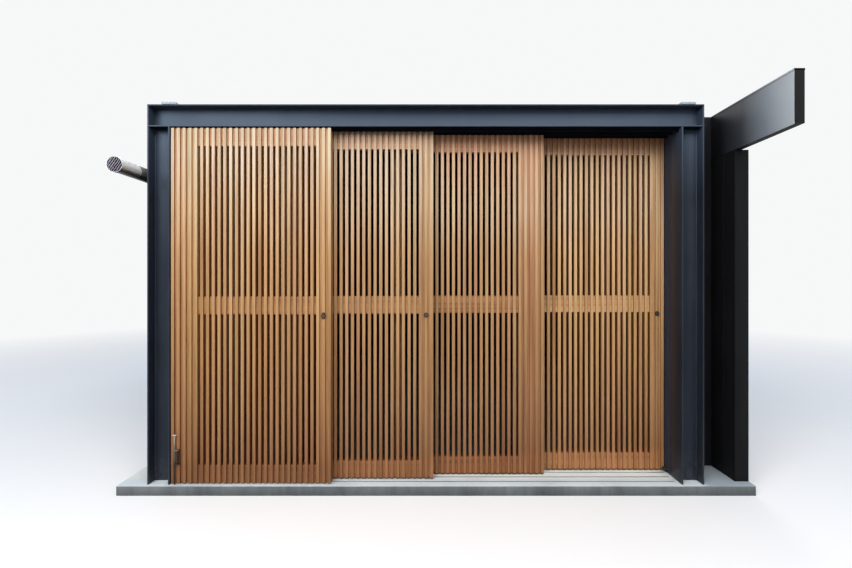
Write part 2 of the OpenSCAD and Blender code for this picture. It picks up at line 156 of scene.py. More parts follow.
def new_material(name):
    """An empty material, with its node tree ready for a shader."""
    material = bpy.data.materials.new(name)
    material.use_nodes = True
    material.node_tree.nodes.clear()
    return material


def spread(value, low, high, to_low=0.0, to_high=1.0):
    """A value from low to high, stretched to another range."""
    return add_node(value.id_data, "ShaderNodeMapRange", inputs={"Value": value, "From Min": low,
        "From Max": high, "To Min": to_low, "To Max": to_high}).outputs[0]


fade_from = 4.2
fade_to = 12.0
pale_ground = new_material("pale_ground")
tree = pale_ground.node_tree
where = add_node(tree, "ShaderNodeTexCoord")
distance = add_node(tree, "ShaderNodeVectorMath", operation="LENGTH", inputs={0: where.outputs["Object"]})
ground_seen = seen_share(tree)
seen_fade = reckon("MULTIPLY", spread(distance.outputs["Value"], fade_from, fade_to), ground_seen)
near = add_node(tree, "ShaderNodeBsdfDiffuse", inputs={"Color": (0.42, 0.42, 0.42, 1)})
near_seen = add_node(tree, "ShaderNodeBsdfDiffuse", inputs={"Color": (0.86, 0.83, 0.80, 1)})
near_mix = add_node(tree, "ShaderNodeMixShader", inputs={
    0: ground_seen, 1: near.outputs[0], 2: near_seen.outputs[0]})
far = add_node(tree, "ShaderNodeEmission", inputs={"Color": backdrop_white, "Strength": 1.0})
ground_mix = add_node(tree, "ShaderNodeMixShader", inputs={
    0: seen_fade, 1: near_mix.outputs[0], 2: far.outputs[0]})
add_node(tree, "ShaderNodeOutputMaterial", inputs={0: ground_mix.outputs[0]})
ground.data.materials.append(pale_ground)


# Concrete floor and sill. The slab is cast on the ground inside the walls, and its dark tone is painted
# shade of the closed house. The sill carries it on past the columns and the doors to the street: smooth
# pale mortar on top, made warmer and paler towards the doors by painted light, greyed in the right
# recess and towards the left end by painted shade; bare and stained in front, and darker there partly
# with painted shade; its arris chipped.
def finish_with(material, *nodes):
    """The CAD nodes keep their shape and take this material in every slot."""
    for name in nodes:
        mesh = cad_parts[name].data
        if not mesh.materials:
            mesh.materials.append(material)
        for i in range(len(mesh.materials)):
            mesh.materials[i] = material


def surface(name, roughness, metallic=0.0, specular=0.5):
    """A material with a plain shader, and that shader and the object's coordinates."""
    material = new_material(name)
    tree = material.node_tree
    shader = add_node(tree, "ShaderNodeBsdfPrincipled",
        inputs={"Roughness": roughness, "Metallic": metallic, "Specular IOR Level": specular})
    add_node(tree, "ShaderNodeOutputMaterial", inputs={0: shader.outputs[0]})
    return material, shader, add_node(tree, "ShaderNodeTexCoord").outputs["Object"]


def noise(place, scale, detail=4.0, roughness=0.5, stretch=(1, 1, 1)):
    """Noise on the object's own coordinates, drawn out along an axis where stretch is small."""
    tree = place.id_data
    turned = add_node(tree, "ShaderNodeMapping", inputs={"Vector": place, "Scale": stretch})
    return add_node(tree, "ShaderNodeTexNoise", inputs={"Vector": turned.outputs[0],
        "Scale": scale, "Detail": detail, "Roughness": roughness}).outputs["Fac"]


def blend(share, first, second, how="MIX"):
    """The first colour blended into the second by a share from 0 to 1."""
    return add_node(first.id_data, "ShaderNodeMix", data_type="RGBA", blend_type=how,
        inputs={0: share, 6: first, 7: second}).outputs[2]


def times(first, second, share=1.0):
    """The first colour multiplied by the second, in full or by a share."""
    return blend(share, first, second, "MULTIPLY")


def along(place, axis):
    return add_node(place.id_data, "ShaderNodeSeparateXYZ", inputs={0: place}).outputs[axis]


def feed(shader, name, value):
    shader.id_data.links.new(value, shader.inputs[name])


def bumps(shader, height, depth, strength):
    bump = add_node(shader.id_data, "ShaderNodeBump", inputs={
        "Height": height, "Distance": depth, "Strength": strength})
    feed(shader, "Normal", bump.outputs[0])


def concrete_finish(name, dark, middle, pale, roughness):
    """Cast or floated concrete: clouded tone, fine sand and a few pores."""
    material, shader, place = surface(name, roughness, specular=0.35)
    grains = noise(place, 160, 3, 0.6)
    pores = noise(place, 55, 2, 0.4)
    tone = ramp(noise(place, 3.2, 6, 0.6), (0.30, dark), (0.52, middle), (0.74, pale))
    tone = times(tone, ramp(grains, (0.3, (0.72, 0.72, 0.71)), (0.7, 1.0)), 0.5)
    feed(shader, "Base Color", tone)
    bumps(shader, blend(0.5, grains, spread(pores, 0.28, 0.36)), 0.0010, 0.5)
    return material, shader, place, tone


# Painted shade: the slab inside the house is given a near-black concrete tone.
floor_concrete = concrete_finish(
    "floor_concrete", (0.080, 0.080, 0.078), (0.110, 0.110, 0.108), (0.145, 0.145, 0.140), 0.7)[0]
finish_with(floor_concrete, "floor_slab")
sill_top, shader, place, tone = concrete_finish(
    "sill_top", (0.48, 0.515, 0.525), (0.57, 0.605, 0.615), (0.64, 0.665, 0.675), 0.72)
# Painted shade: the sill top is greyed in the right recess, under the fascia.
recess_shade_end = spread(along(place, "X"), 1.84, 1.90)
recess_shade_tone = times(tone, (0.54, 0.57, 0.60, 1))
# Painted shade: the sill top darkens towards its left end.
left_end_shade = ramp(spread(along(place, "X"), -2.1, 0.0), (0.16, 1.0), (0.18, (0.76, 0.77, 0.78)), (0.70, 1.0))
# Painted light: the sill top turns paler and warmer towards the doors, as light thrown off the wood.
door_light_paint = ramp(spread(along(place, "Y"), sill_low.y, sill_low.y + 0.25), (0.36, 1.0),
    (0.50, (1.13, 1.09, 1.02)), (0.76, (1.29, 1.24, 1.14)), (1.0, (1.34, 1.26, 1.12)))
tone_outside_recess = times(times(tone, left_end_shade), door_light_paint)
feed(shader, "Base Color", blend(recess_shade_end, tone_outside_recess, recess_shade_tone))
# The front face's darker tone is partly stain and partly painted shade.
sill_front, shader, place, tone = concrete_finish(
    "sill_front", (0.115, 0.124, 0.128), (0.165, 0.178, 0.182), (0.23, 0.239, 0.243), 0.85)
run_tone = ramp(noise(place, 14, 4, 0.6, (1, 1, 0.12)), (0.35, (0.76, 0.75, 0.74)), (0.6, 1.0))
splash = spread(along(place, "Z"), 0.0, 0.06, 0.62, 1.0)
feed(shader, "Base Color", times(times(tone, run_tone), splash))


def settle():
    """Writes the place, turn and size of what is selected into its mesh."""
    bpy.ops.object.transform_apply(location=True, rotation=True, scale=True)


def block(name, low, high):
    """A block from its lowest to its highest corner, with its place in its mesh."""
    bpy.ops.object.select_all(action="DESELECT")
    middle = [(a + b) / 2 for a, b in zip(low, high)]
    size = [b - a for a, b in zip(low, high)]
    bpy.ops.mesh.primitive_cube_add(size=1, location=middle, scale=size)
    made = bpy.context.object
    made.name = name
    settle()
    return made


def take_up(piece):
    """The piece alone is selected and active."""
    if bpy.context.object and bpy.context.object.mode == "EDIT":
        bpy.ops.object.mode_set(mode="OBJECT")
    bpy.ops.object.select_all(action="DESELECT")
    piece.select_set(True)
    bpy.context.view_layer.objects.active = piece


def open_up(piece, kind, parts, chosen):
    """Opens the piece in edit mode with the chosen ones of its faces or edges selected."""
    take_up(piece)
    bpy.ops.object.mode_set(mode="EDIT")
    bpy.ops.mesh.select_mode(type=kind)
    bpy.ops.mesh.select_all(action="DESELECT")
    bpy.ops.object.mode_set(mode="OBJECT")
    for part in getattr(piece.data, parts):
        part.select = bool(chosen(part))
    bpy.ops.object.mode_set(mode="EDIT")


def open_faces(piece, chosen):
    """Opens the piece with the faces selected whose middle and normal are chosen."""
    open_up(piece, "FACE", "polygons", lambda face: chosen(face.center, face.normal))


def open_edges(piece, chosen):
    """Opens the piece with the edges selected whose two ends are chosen."""
    open_up(piece, "EDGE", "edges", lambda edge: chosen(*(piece.data.vertices[i].co for i in edge.vertices)))


def shut():
    """Leaves edit mode."""
    bpy.ops.object.mode_set(mode="OBJECT")


def slice_all(at, normal, **settings):
    """Cuts the whole opened piece along a plane."""
    bpy.ops.mesh.select_all(action="SELECT")
    bpy.ops.mesh.bisect(plane_co=at, plane_no=normal, **settings)


def apply(piece, modifier):
    take_up(piece)
    bpy.ops.object.modifier_apply(modifier=modifier.name)


def ruffle(piece, name, size, axis, middle, strength, detail=2, group=""):
    """Pushes the piece's points, or those of a group, to and fro along an axis by clouds of a size."""
    clouds = bpy.data.textures.new(name, "CLOUDS")
    clouds.noise_scale = size
    clouds.noise_depth = detail
    waves = piece.modifiers.new(name, "DISPLACE")
    waves.texture = clouds
    waves.texture_coords = "GLOBAL"
    waves.vertex_group = group
    waves.direction = axis
    waves.mid_level = middle
    waves.strength = strength
    apply(piece, waves)


def paint(piece, material, *others, chosen=None):
    """Gives the piece a material, and a later one to each face by the number that chosen gives."""
    piece.data.materials.clear()
    for each in (material, *others):
        piece.data.materials.append(each)
    for face in piece.data.polygons:
        face.material_index = int(chosen(face.center, face.normal)) if chosen else 0


def set_up(piece, body, slot, *nodes):
    """The piece rides on its body and stands for its CAD nodes. The slot is not used."""
    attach(piece, body)
    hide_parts(*nodes)


low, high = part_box("front_sill")
chamfer = 0.005
strips = 86
chips_reach = 0.02
chips_end = 0.01
sill = block("front_sill_cast", low, high)
open_edges(sill, lambda a, b: max(a.y, b.y) < low.y + 0.001 and min(a.z, b.z) > high.z - 0.001)
bpy.ops.mesh.bevel(offset=chamfer, segments=3, affect="EDGES")
shut()
open_faces(sill, lambda middle, normal: normal.y < -0.3)
bpy.ops.mesh.subdivide(number_cuts=1)
for i in range(1, strips):
    slice_all((low.x + i * (high.x - low.x) / strips, 0, 0), (1, 0, 0))
shut()
rubbed = sill.vertex_groups.new(name="arris")
rubbed.add([v.index for v in sill.data.vertices if v.co.y < low.y + chips_reach
    and v.co.z > chips_end and low.x + chips_end < v.co.x < high.x - chips_end], 1.0, "REPLACE")
ruffle(sill, "chips", 0.045, "Y", 0.35, 0.004, 3, "arris")
for point in sill.data.vertices:
    point.co.y = max(point.co.y, low.y)
take_up(sill)
bpy.ops.object.shade_smooth_by_angle(angle=math.radians(40))
paint(sill, sill_top, sill_front, chosen=lambda middle, normal: normal.z < 0.35)
set_up(sill, "shell", "concrete", "front_sill")

# Rails for the doors: four flat steel bars laid on the sill, one under each door, their edges
# rounded, and dulled and brushed lengthways by the rollers.


def ease(piece, width, segments=2):
    """Rounds the piece's sharp edges a little and keeps its flat faces flat."""
    bevel = piece.modifiers.new("eased_edges", "BEVEL")
    bevel.width = width
    bevel.segments = segments
    bevel.limit_method = "ANGLE"
    bevel.angle_limit = math.radians(35)
    apply(piece, bevel)
    bpy.ops.object.shade_smooth()
    flat = piece.modifiers.new("flat_faces", "WEIGHTED_NORMAL")
    flat.weight = 100
    apply(piece, flat)


def eased_block(name, low, high, width, segments=2):
    made = block(name, low, high)
    ease(made, width, segments)
    return made


def repeat(piece, count, step):
    """Copies the piece in a row, each copy a step further, all in one mesh."""
    row = piece.modifiers.new("row", "ARRAY")
    row.count = count
    row.use_relative_offset = False
    row.use_constant_offset = True
    row.constant_offset_displace = step
    apply(piece, row)


def grained(name, roughness, dark, pale, grain, bump=None, pale_from=0.7, **gloss):
    """A plain finish, dark and pale in a grain of noise, which also lifts it where bump gives a depth
    and strength."""
    material, shader, place = surface(name, roughness, **gloss)
    grains = noise(place, *grain)
    feed(shader, "Base Color", ramp(grains, (0.3, dark), (pale_from, pale)))
    if bump:
        bumps(shader, grains, *bump)
    return material


dull_steel = grained("dull_steel", 0.38, 0.22, 0.40, (30, 3, 0.6, (0.03, 1, 1)), (0.0004, 0.4), metallic=0.85)
low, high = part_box("sill_rails")
door_step = 0.074
rail_width = high.y - low.y - 3 * door_step
rails = eased_block("sill_rail_bars", low, (high.x, low.y + rail_width, high.z), 0.0012, 3)
repeat(rails, 4, (0, door_step, 0))
paint(rails, dull_steel)
set_up(rails, "shell", "stainless", "sill_rails")

# Portal: two columns and a beam of one rolled H-section, welded at the corners, blasted and
# painted blue-black. The rolled fillets and the slightly rounded flange edges catch the sky. The
# paint's gloss is tinted sky blue and it carries a painted sky sheen, lighter and bluer towards the
# top; it is clouded by splashed dust near the ground. Its undersides over the doors, which the head
# guides and their box share, are dead black with painted shade.
portal_paint, shader, place = surface("portal_paint", 0.36, specular=0.24)
# Painted reflection: the gloss is tinted sky blue.
shader.inputs["Specular Tint"].default_value = (0.64, 0.80, 1.0, 1)
mottled = noise(place, 2.4, 5, 0.6)
streaks = noise(place, 9, 5, 0.65, (1, 1, 0.06))
tone = ramp(mottled, (0.3, (0.009, 0.011, 0.016)), (0.7, (0.015, 0.018, 0.026)))
# Painted sky sheen: the paint is lighter and bluer up the columns and along the beam.
sky_sheen = ramp(spread(along(place, "Z"), 2.0, 2.625), (0.0, 0.0), (0.8, 0.38), (0.94, 0.38), (0.965, 0.08))
tone = blend(sky_sheen, tone, (0.080, 0.110, 0.160, 1))
tone = blend(ramp(streaks, (0.45, 0.0), (0.8, 0.25)), tone, (0.075, 0.078, 0.082, 1))
near_ground = spread(along(place, "Z"), 0.05, 0.30, 0.30, 0.0)
near_ground = times(near_ground, spread(noise(place, 22, 5, 0.7), 0.35, 0.65))
tone = blend(near_ground, tone, (0.105, 0.103, 0.098, 1))
feed(shader, "Base Color", tone)
feed(shader, "Roughness", spread(mottled, 0.3, 0.7, 0.30, 0.44))
bumps(shader, noise(place, 110, 3, 0.5), 0.0004, 0.35)
# Painted shade: the undersides over the doors are near-black.
soffit_shade = grained("soffit_shade", 0.80, (0.0030, 0.0034, 0.0045), (0.0065, 0.0072, 0.0095), (7, 5, 0.6),
    (0.0004, 0.3), specular=0.02)
finish_with(soffit_shade, "head_guides", "head_box")

flange = 0.010
web = 0.007
fillet = 0.008
flange_round = 0.0018


def rolled_section(name, middle, side, length):
    """An H-section drawn flat, flanges left and right, then drawn out upwards by its length."""
    bpy.ops.object.select_all(action="DESELECT")
    bpy.ops.mesh.primitive_plane_add(size=side, location=middle)
    made = bpy.context.object
    made.name = name
    settle()
    bpy.ops.object.mode_set(mode="EDIT")
    for across, line in (((1, 0, 0), side / 2 - flange), ((1, 0, 0), flange - side / 2),
                         ((0, 1, 0), web / 2), ((0, 1, 0), -web / 2)):
        slice_all([m + a * line for m, a in zip(middle, across)], across)
    shut()
    open_faces(made, lambda at, normal:
        abs(at.x - middle[0]) < side / 2 - flange and abs(at.y - middle[1]) > web / 2)
    bpy.ops.mesh.delete(type="FACE")
    bpy.ops.mesh.select_all(action="SELECT")
    bpy.ops.mesh.dissolve_limited(angle_limit=0.01)
    bpy.ops.mesh.select_all(action="SELECT")
    bpy.ops.mesh.extrude_region_move(TRANSFORM_OT_translate={"value": (0, 0, length)})
    bpy.ops.mesh.select_all(action="SELECT")
    bpy.ops.mesh.normals_make_consistent(inside=False)
    shut()
    open_edges(made, lambda a, b: abs(a.z - b.z) > length / 2
        and abs(abs(a.x - middle[0]) - side / 2 + flange) < 0.001
        and abs(abs(a.y - middle[1]) - web / 2) < 0.001)
    bpy.ops.mesh.bevel(offset=fillet, segments=4, affect="EDGES")
    shut()
    open_edges(made, lambda a, b: abs(a.z - b.z) > length / 2
        and abs(abs(a.y - middle[1]) - side / 2) < 0.001)
    bpy.ops.mesh.bevel(offset=flange_round, segments=2, affect="EDGES")
    shut()
    bpy.ops.object.shade_smooth_by_angle(angle=math.radians(50))
    return made


def join(name, *pieces):
    bpy.ops.object.select_all(action="DESELECT")
    for piece in pieces:
        piece.select_set(True)
    bpy.context.view_layer.objects.active = pieces[0]
    bpy.ops.object.join()
    pieces[0].name = name
    return pieces[0]


for node in ("left_column", "right_column"):
    low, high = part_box(node)
    middle = ((low.x + high.x) / 2, (low.y + high.y) / 2, low.z)
    column = rolled_section(node + "_steel", middle, high.x - low.x, high.z - low.z)
    paint(column, portal_paint)
    set_up(column, "shell", "steel", node)

low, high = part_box("front_beam")
beam = rolled_section("front_beam_steel", (0, (low.y + high.y) / 2, 0), high.z - low.z,
    high.x - low.x - 2 * flange)
take_up(beam)
bpy.ops.transform.rotate(value=math.radians(-90), orient_axis="Y", center_override=(0, 0, 0))
settle()
reach = [min(v.co[i] for v in beam.data.vertices) for i in (0, 2)]
bpy.ops.transform.translate(value=(low.x + flange - reach[0], 0, low.z - reach[1]))
settle()
plates = [eased_block("end_plate", (x, low.y, low.z), (x + flange, high.y, high.z), flange_round)
    for x in (low.x, high.x - flange)]
beam = join("front_beam_steel", beam, *plates)
# The beam's undersides take the painted shade of the soffit.
paint(beam, portal_paint, soffit_shade, chosen=lambda at, normal:
    normal.z < -0.7 and at.z < low.z + 0.002)
set_up(beam, "shell", "steel", "front_beam")

# Cap plates: a folded steel saddle on each end of the beam, standing on its two feet, galvanised
# and bolted down through its middle.
zinc, shader, place = surface("zinc", 0.50, 0.20)
spangle = add_node(place.id_data, "ShaderNodeTexVoronoi", inputs={"Vector": place, "Scale": 60.0})
feed(shader, "Base Color",
    ramp(spangle.outputs["Distance"], (0.1, (0.20, 0.24, 0.28)), (0.8, (0.30, 0.34, 0.39))))
bumps(shader, noise(place, 40, 3), 0.0006, 0.4)
low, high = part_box("beam_cap_plates")
plate_width = 0.100
plate_thick = 0.008
washer_radius = 0.0125
washer_thick = 0.0025
washer_up = 0.00225
head_radius = 0.0105
head_high = 0.008
head_up = 0.0015
cutter_past = 0.01


def cut(piece, *cutters):
    """Takes the cutters' shapes out of the piece."""
    for cutter in cutters:
        bite = piece.modifiers.new("bite", "BOOLEAN")
        bite.object = cutter
        bite.solver = "EXACT"
        apply(piece, bite)


def round_bar(name, radius, start, end, corners=48):
    """A round bar between two points along one axis."""
    bpy.ops.object.select_all(action="DESELECT")
    run = Vector(end) - Vector(start)
    bpy.ops.mesh.primitive_cylinder_add(vertices=corners, radius=radius, depth=run.length,
        location=(Vector(start) + Vector(end)) / 2, rotation=run.to_track_quat("Z", "Y").to_euler())
    made = bpy.context.object
    made.name = name
    settle()
    return made


def saddle(left):
    """A block, hollowed from below and through, so that a top and two feet are left."""
    made = block("saddle", (left, low.y, low.z), (left + plate_width, high.y, high.z))
    hollow = block("hollow", (left + plate_thick, low.y - cutter_past, low.z - cutter_past),
        (left + plate_width - plate_thick, high.y + cutter_past, high.z - 2 * plate_thick))
    cut(made, hollow)
    bpy.data.objects.remove(hollow)
    ease(made, 0.003, 3)
    spot = (left + plate_width / 2, (low.y + high.y) / 2)
    head_foot = high.z + head_up
    bolt_head = round_bar("bolt_head", head_radius, (*spot, head_foot), (*spot, head_foot + head_high), 6)
    ease(bolt_head, 0.0008)
    washer_top = high.z + washer_up
    washer = round_bar("washer", washer_radius,
        (*spot, washer_top - washer_thick), (*spot, washer_top), 32)
    ease(washer, 0.0005)
    return join("saddle", made, bolt_head, washer)


saddles = join("cap_saddles", saddle(low.x), saddle(high.x - plate_width))
paint(saddles, zinc)
set_up(saddles, "shell", "stainless", "beam_cap_plates")

# Linings behind the portal and the panels that close the recesses: black coated sheet on timber
# framing, folded at its corners and always in shade; the sheet's near-black tone also holds that
# shade, painted into it.
black_sheet, shader, place = surface("black_sheet", 0.60, specular=0.12)
dust = noise(place, 9, 5, 0.6, (1, 1, 0.25))
feed(shader, "Base Color", ramp(dust, (0.3, (0.005, 0.005, 0.006)), (0.75, (0.010, 0.010, 0.012))))
bumps(shader, noise(place, 1.6, 2, 0.4), 0.012, 0.12)
finish_with(black_sheet, "left_end_panel", "right_end_panel", "front_flashing")
lining = grained("lining_board", 0.65, (0.027, 0.027, 0.037), (0.041, 0.042, 0.056),
    (60, 4, 0.6, (1, 1, 0.04)), (0.0008, 0.4), specular=0.08)
finish_with(lining, "left_jamb", "right_jamb")

# Vent pipe: a thin stainless duct that comes forward through the left recess's panel. Its pressed
# cap has a rolled rim, and slanting fins keep rain and birds out of its mouth. Its top carries a
# painted highlight, its underside is painted dark brown, partly dirt and partly painted shade, and the
# part that stands back in the recess is darkened with painted shade.
bright_steel, shader, place = surface("bright_steel", 0.24, 1.0)
brushed = noise(place, 120, 3, 0.6, (1, 0.05, 1))
feed(shader, "Base Color", ramp(brushed, (0.3, (0.36, 0.36, 0.37)), (0.7, 0.54)))
feed(shader, "Roughness", spread(noise(place, 12, 4, 0.6), 0.3, 0.7, 0.18, 0.36))
bumps(shader, brushed, 0.0003, 0.3)
low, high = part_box("vent_pipe")
rim_radius = (high.x - low.x) / 2
rim_wall = 0.0024
pipe_radius = rim_radius - 0.004
pipe_wall = 0.0015
pipe_in = 0.008
open_depth = 0.22
cap_length = 0.022
collar_past = 0.006
collar_in = 0.026
collar_long = 0.006
fin_count = 7
fin_pitch = 0.0137
fin_thick = 0.0012
fin_deep = 0.0052
fin_in = 0.0085
fin_play = 0.0016
fin_turn = math.radians(50)
fin_lean = math.radians(-35)
centre = ((low.x + high.x) / 2, (low.z + high.z) / 2)


def duct_length(name, radius, start, end):
    """A round length of the duct between two depths."""
    return round_bar(name, radius, (centre[0], start, centre[1]), (centre[0], end, centre[1]), 64)


pipe = duct_length("vent_pipe_duct", pipe_radius, low.y + pipe_in, high.y)
open_faces(pipe, lambda middle, normal: normal.y < -0.9)
bpy.ops.mesh.inset(thickness=pipe_wall)
bpy.ops.mesh.extrude_region_move(TRANSFORM_OT_translate={"value": (0, open_depth, 0)})
shut()
bpy.ops.object.shade_smooth_by_angle(angle=math.radians(40))
rim = duct_length("vent_rim", rim_radius, low.y, low.y + cap_length)
open_faces(rim, lambda middle, normal: abs(normal.y) > 0.9)
bpy.ops.mesh.inset(thickness=rim_wall)
bpy.ops.mesh.bridge_edge_loops()
shut()
ease(rim, 0.0008, 3)
fins = []
for i in range(fin_count):
    offset = (i - (fin_count - 1) / 2) * fin_pitch
    half = math.sqrt((rim_radius - fin_play) ** 2 - offset ** 2)
    fin = block("fin", (offset - fin_thick / 2, -fin_deep / 2, -half),
        (offset + fin_thick / 2, fin_deep / 2, half))
    bpy.ops.transform.rotate(value=fin_turn, orient_axis="Z", center_override=(offset, 0, 0))
    settle()
    bpy.ops.transform.rotate(value=fin_lean, orient_axis="Y", center_override=(0, 0, 0))
    bpy.ops.transform.translate(value=(centre[0], low.y + fin_in, centre[1]))
    settle()
    ease(fin, 0.0003)
    fins.append(fin)
collar = duct_length("vent_collar", pipe_radius + collar_past,
    high.y - collar_in - collar_long, high.y - collar_in)
ease(collar, 0.0015)
duct_steel, shader, place = surface("duct_steel", 0.34)
smears = noise(place, 14, 4, 0.6, (1, 0.3, 1))
# Painted light and dirt: the top is painted bright and the underside dark brown.
top_light_and_smears = blend(0.18, spread(along(place, "Z"), low.z + 0.008, high.z - 0.008), smears)
duct_tone = ramp(top_light_and_smears, (0.10, (0.035, 0.026, 0.024)), (0.21, (0.12, 0.095, 0.080)),
    (0.33, (0.62, 0.57, 0.50)), (0.62, (0.96, 0.96, 0.94)))
# Painted shade on the part of the duct that stands back in the recess.
recess_shade_on_duct = spread(along(place, "Y"), low.y + 0.196, low.y + 0.206, 1.0, 0.30)
feed(shader, "Base Color", times(duct_tone, recess_shade_on_duct))
bumps(shader, smears, 0.0006, 0.3)
fin_metal = grained("fin_metal", 0.45, (0.26, 0.23, 0.29), (0.41, 0.375, 0.445), (40, 4, 0.6),
    (0.0004, 0.3), metallic=0.5)
# Painted shade: the inside of the duct and cap is near-black.
duct_inside = grained("duct_inside", 0.8, (0.010, 0.008, 0.008), (0.030, 0.025, 0.024), (30, 4, 0.6),
    specular=0.1)


def cap_skin(middle, normal):
    """The cap has painted shade inside, the duct's finish on its side, and only its rolled rim stays bright.
    """
    outwards = normal.dot(Vector((middle.x - centre[0], 0, middle.z - centre[1]))) / rim_radius
    return 1 if outwards < -0.4 else 2 if outwards > 0.9 else 0


paint(pipe, duct_steel, duct_inside, chosen=lambda middle, normal: math.hypot(
    middle.x - centre[0], middle.z - centre[1]) < pipe_radius - 0.001)
paint(rim, bright_steel, duct_inside, duct_steel, chosen=cap_skin)
paint(collar, duct_steel)
for fin in fins:
    paint(fin, fin_metal)
set_up(join("vent_pipe_duct", pipe, rim, collar, *fins), "shell", "stainless", "vent_pipe")

# Return wall: the end of the right-hand wall, a timber stud wrapped in black coated sheet. A folded
# trim covers the front corner, and the sheet on the side is lapped at half its depth.
low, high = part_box("return_wall")
trim_over = 0.0016
trim_deep = 0.003
trim_side = 0.026
lap_from = low.y + 0.120
lap_to = low.y + 0.134
core = eased_block("return_core", (low.x + trim_over, low.y + trim_over, low.z), high, 0.002)
side_trim = eased_block("side_trim", low, (low.x + trim_deep, low.y + trim_side, high.z), 0.0008)
front_trim = eased_block("front_trim", low, (high.x, low.y + trim_deep, high.z), 0.0008)
lap = eased_block("lap", (low.x + 0.0004, lap_from, low.z), (low.x + trim_deep, lap_to, high.z), 0.0006)
return_piece = join("return_wall_sheet", core, side_trim, front_trim, lap)
# Painted shade: the front trim's near-black tone, like the sheet's, holds shade painted into it.
trim_sheet = grained("trim_sheet", 0.60, (0.006, 0.006, 0.007), (0.011, 0.011, 0.012),
    (9, 5, 0.6, (1, 1, 0.12)), pale_from=0.75, specular=0.06)
paint(return_piece, black_sheet, trim_sheet, chosen=lambda middle, normal: middle.y < low.y + 0.03)
set_up(return_piece, "shell", "dark_sheet", "return_wall")

# Side fascia: a boxed board of the same sheet over the return wall, reaching out over the street.
# Its side carries painted sky light and shade: pale at the outer end, near-black at the end by the
# wall. A drip fold runs along its foot and a folded cap along its top.
fascia_sheet, shader, place = surface("fascia_sheet", 0.38)
low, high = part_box("side_fascia")
drip_wide = 0.006
drip_past = 0.004
fold_high = 0.012
cap_past = 0.002
fascia_sky_light = spread(along(place, "Y"), high.y - 0.10, low.y)
fascia_sky_light = blend(0.10, fascia_sky_light, noise(place, 5, 5, 0.6))
feed(shader, "Base Color", ramp(fascia_sky_light, (0.05, (0.004, 0.004, 0.006)), (0.36, (0.036, 0.039, 0.044)),
    (0.62, (0.19, 0.21, 0.23)), (1.0, (0.50, 0.54, 0.56))))
bumps(shader, noise(place, 1.8, 2, 0.4), 0.008, 0.12)
fascia = eased_block("side_fascia_box", (low.x, low.y, low.z + drip_past), high, 0.002, 3)
drip = eased_block("drip", low, (low.x + drip_wide, high.y, low.z + fold_high), 0.0012)
cap = eased_block("cap", (low.x - cap_past, low.y, high.z - fold_high),
    (high.x + cap_past, high.y, high.z), 0.0015)
fascia = join("side_fascia_box", fascia, drip, cap)
# Its underside, front end and right side take the black sheet with its painted shade.
paint(fascia, fascia_sheet, black_sheet, chosen=lambda middle, normal:
    normal.z < -0.5 or normal.y < -0.7 or normal.x > 0.5)
set_up(fascia, "shell", "dark_sheet", "side_fascia")


# Party walls and back wall: timber frames clad outside in upright sheets of dark coated steel with
# open joints between them, a base flashing over the slab, and lined inside with near-black boards,
# their tone painted shade of the closed house.
def coated_sheet(name, wide, start, axis):
    """Dark coated steel whose tone changes a little from sheet to sheet, each as wide as it is given
    along the axis from start, with rain streaks, splashed dirt at its foot and a slight wave."""
    material, shader, place = surface(name, 0.45)
    counted = spread(along(place, axis), start, start + wide)
    counted.node.clamp = False
    draw = add_node(place.id_data, "ShaderNodeTexWhiteNoise", noise_dimensions="1D",
        inputs={"W": reckon("FLOOR", counted)})
    dust = noise(place, 9, 5, 0.6, (1, 1, 0.12))
    streaks = noise(place, 26, 4, 0.65, (1, 1, 0.04))
    tone = ramp(dust, (0.3, (0.022, 0.023, 0.026)), (0.75, (0.040, 0.041, 0.045)))
    tone = times(tone, spread(draw.outputs["Value"], 0, 1, 0.82, 1.16))
    tone = blend(ramp(streaks, (0.50, 0.0), (0.78, 0.30)), tone, (0.075, 0.076, 0.078, 1))
    tone = blend(spread(along(place, "Z"), 0.05, 0.5, 0.35, 0.0), tone, (0.085, 0.080, 0.072, 1))
    feed(shader, "Base Color", tone)
    feed(shader, "Roughness", spread(dust, 0.3, 0.7, 0.36, 0.52))
    bumps(shader, noise(place, 1.6, 2, 0.4), 0.012, 0.22)
    return material


side_low, side_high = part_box("left_party_wall")
back_low, back_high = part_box("back_wall")
sheet_wide = 0.455
side_run = side_high.y - side_low.y
back_run = back_high.x - back_low.x
side_sheet = coated_sheet("side_sheet", side_run / round(side_run / sheet_wide), side_low.y, "Y")
back_sheet = coated_sheet("back_sheet", back_run / round(back_run / sheet_wide), back_low.x, "X")
edge_sheet = coated_sheet("edge_sheet", 1.8, back_low.x, "X")
finish_with(edge_sheet, "left_verge_flashing", "right_verge_flashing", "eave_board", "gutter", "downpipe")

# Painted shade: the inner boards are near-black.
inner_board_shade, shader, place = surface("inner_board_shade", 0.7, specular=0.3)
fibres = noise(place, 70, 5, 0.6, (1, 1, 0.03))
figure = noise(place, 12, 4, 0.6, (1, 1, 0.05))
tone = ramp(figure, (0.3, (0.020, 0.010, 0.006)), (0.7, (0.040, 0.021, 0.012)))
feed(shader, "Base Color", times(tone, ramp(fibres, (0.3, (0.45, 0.4, 0.36)), (0.65, 1)), 0.6))
bumps(shader, fibres, 0.0008, 0.6)

fall = 0.030
roof_line = portal_high
skirt_thick = 0.0045
skirt_high = 0.09
clad = 0.005
clad_joint = 0.006
board = 0.012
board_wide = 0.15
board_joint = 0.003
head_past = 0.02


def trim_to_roof(piece):
    """Cuts the piece off along the underside of the roof boards."""
    take_up(piece)
    bpy.ops.object.mode_set(mode="EDIT")
    slice_all((0, roof_line.y, roof_line.z), (0, fall, 1), clear_outer=True, use_fill=True)
    shut()


